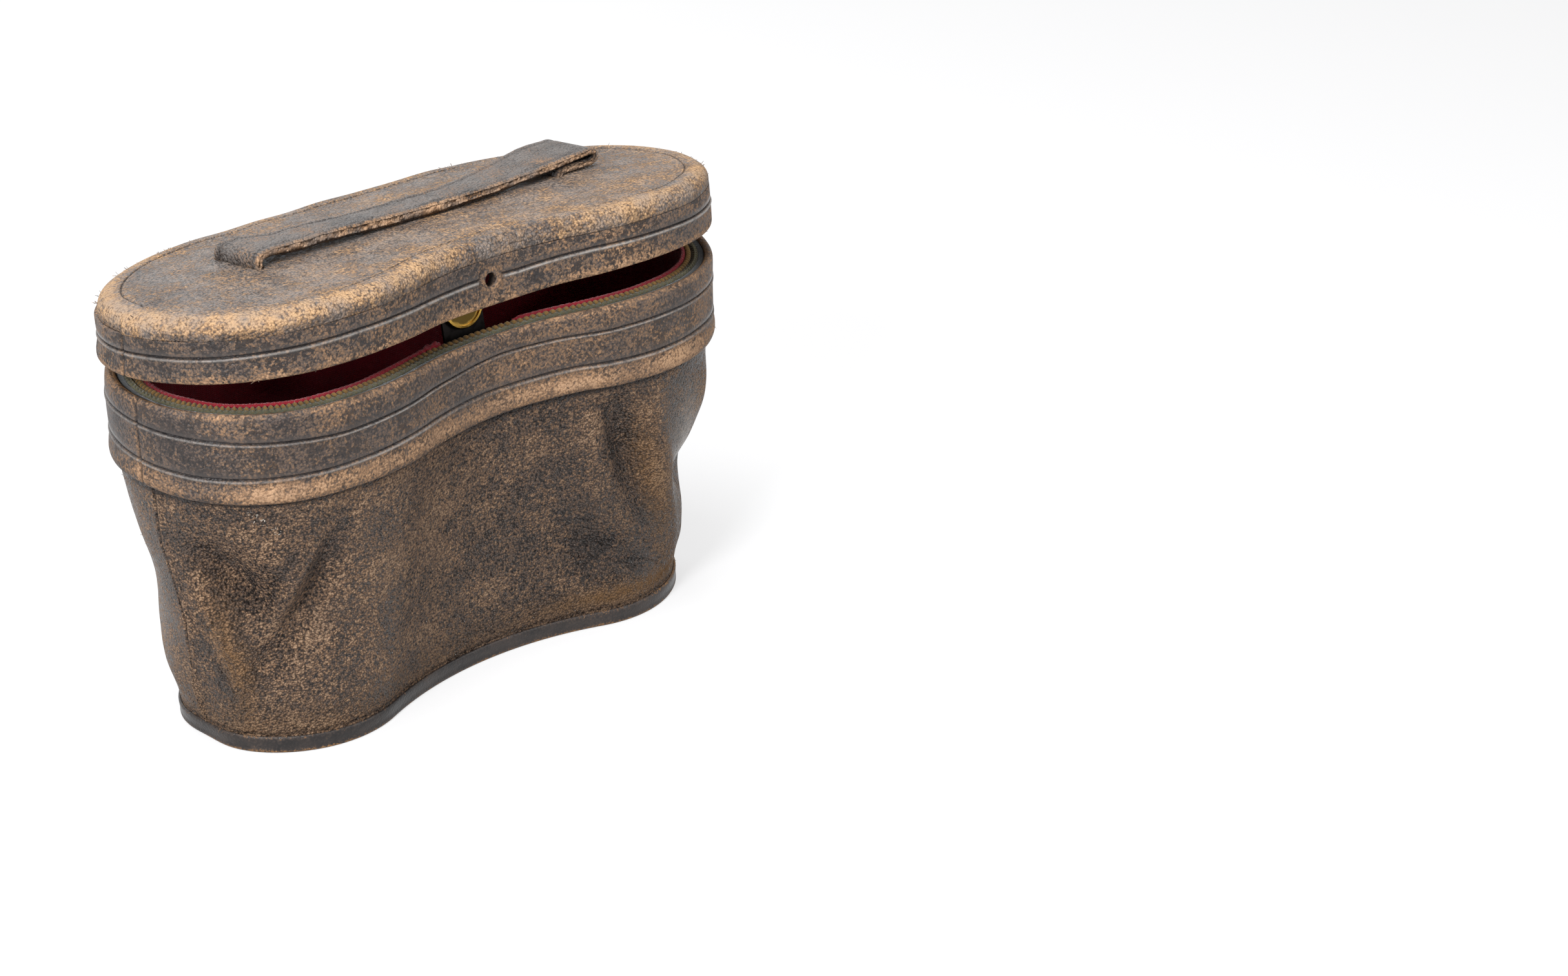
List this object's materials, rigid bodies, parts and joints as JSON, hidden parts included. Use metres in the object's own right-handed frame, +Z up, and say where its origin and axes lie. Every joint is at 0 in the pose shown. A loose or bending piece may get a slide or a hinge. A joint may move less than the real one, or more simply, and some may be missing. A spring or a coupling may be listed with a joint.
{
  "type": "opera glass case",
  "caption": "Kidney-shaped hard leather case for small binoculars, standing on its flat base with a hinged lid ajar, a carrying strap on the lid and a push-stud spring catch.",
  "frame": {"origin": "middle of the flat base, on the surface that the case stands on", "axes": "+Z up, +X along the case, the waisted front with the catch faces -Y and the hinge is along the back at +Y"},
  "size_m": [0.126, 0.059, 0.0864],
  "materials": {
    "body_hide": "dark grey-brown leather, grained, worn tan on dents and seams",
    "band_hide": "stiff dark leather with two tooled lines, worn tan at both edges",
    "lid_hide": "dark leather with a grey sheen, worn tan along the top edge",
    "strap_hide": "dark harness leather with bare tan cut edges",
    "base_hide": "plain dark leather, rubbed",
    "binding_hide": "dark burnished leather strip",
    "lining": "crimson cloth lining",
    "welt": "bright crimson cloth-covered cord",
    "edge_felt": "grey-blue felt strip",
    "braid": "woven braid, dark green and ochre",
    "wadding": "cotton wadding",
    "card": "pressed board",
    "hoop_wood": "bent wood hoop",
    "hinge_brass": "aged brass, dull",
    "button_brass": "aged brass with a bright worn rim",
    "catch_steel": "blackened spring steel",
    "pin_steel": "plain steel, slightly rusted"
  },
  "bodies": {
    "case": {"body_leather": "body_hide", "rim_band": "band_hide", "rim_hoop": "hoop_wood", "edge_felt": "edge_felt", "rim_braid": "braid", "body_card": "card", "body_wadding": "wadding", "body_lining": "lining", "lining_welt": "welt", "floor_pad": "lining", "base_board": "card", "base_leather": "base_hide", "base_binding": "binding_hide", "hinge_leaf_body": "hinge_brass", "hinge_pin": "pin_steel", "hinge_rivets_body": "hinge_brass", "catch_packing": "catch_steel", "catch_clamp": "catch_steel", "catch_rivets": "pin_steel"},
    "lid": {"lid_side_leather": "lid_hide", "lid_hoop": "hoop_wood", "lid_wall_lining": "lining", "lid_top_lining": "lining", "lid_board": "card", "lid_top_leather": "lid_hide", "handle_strap": "strap_hide", "strap_tacks": "pin_steel", "hinge_leaf_lid": "hinge_brass", "hinge_rivets_lid": "hinge_brass"},
    "catch": {"catch_spring": "catch_steel", "catch_button": "button_brass"}
  },
  "joints": [
    {"name": "lid_hinge", "type": "hinge", "parent": "case", "child": "lid", "pos_m": [0, 0.0296, 0.0683], "axis": [-1, 0, 0], "range_deg": [-6.4, 103.6]},
    {"name": "catch_flex", "type": "hinge", "parent": "case", "child": "catch", "pos_m": [0, -0.01576, 0.055], "axis": [1, 0, 0], "range_deg": [-1.5, 11], "stiffness_Nm_per_rad": 0.06, "springref_deg": 11}
  ]
}
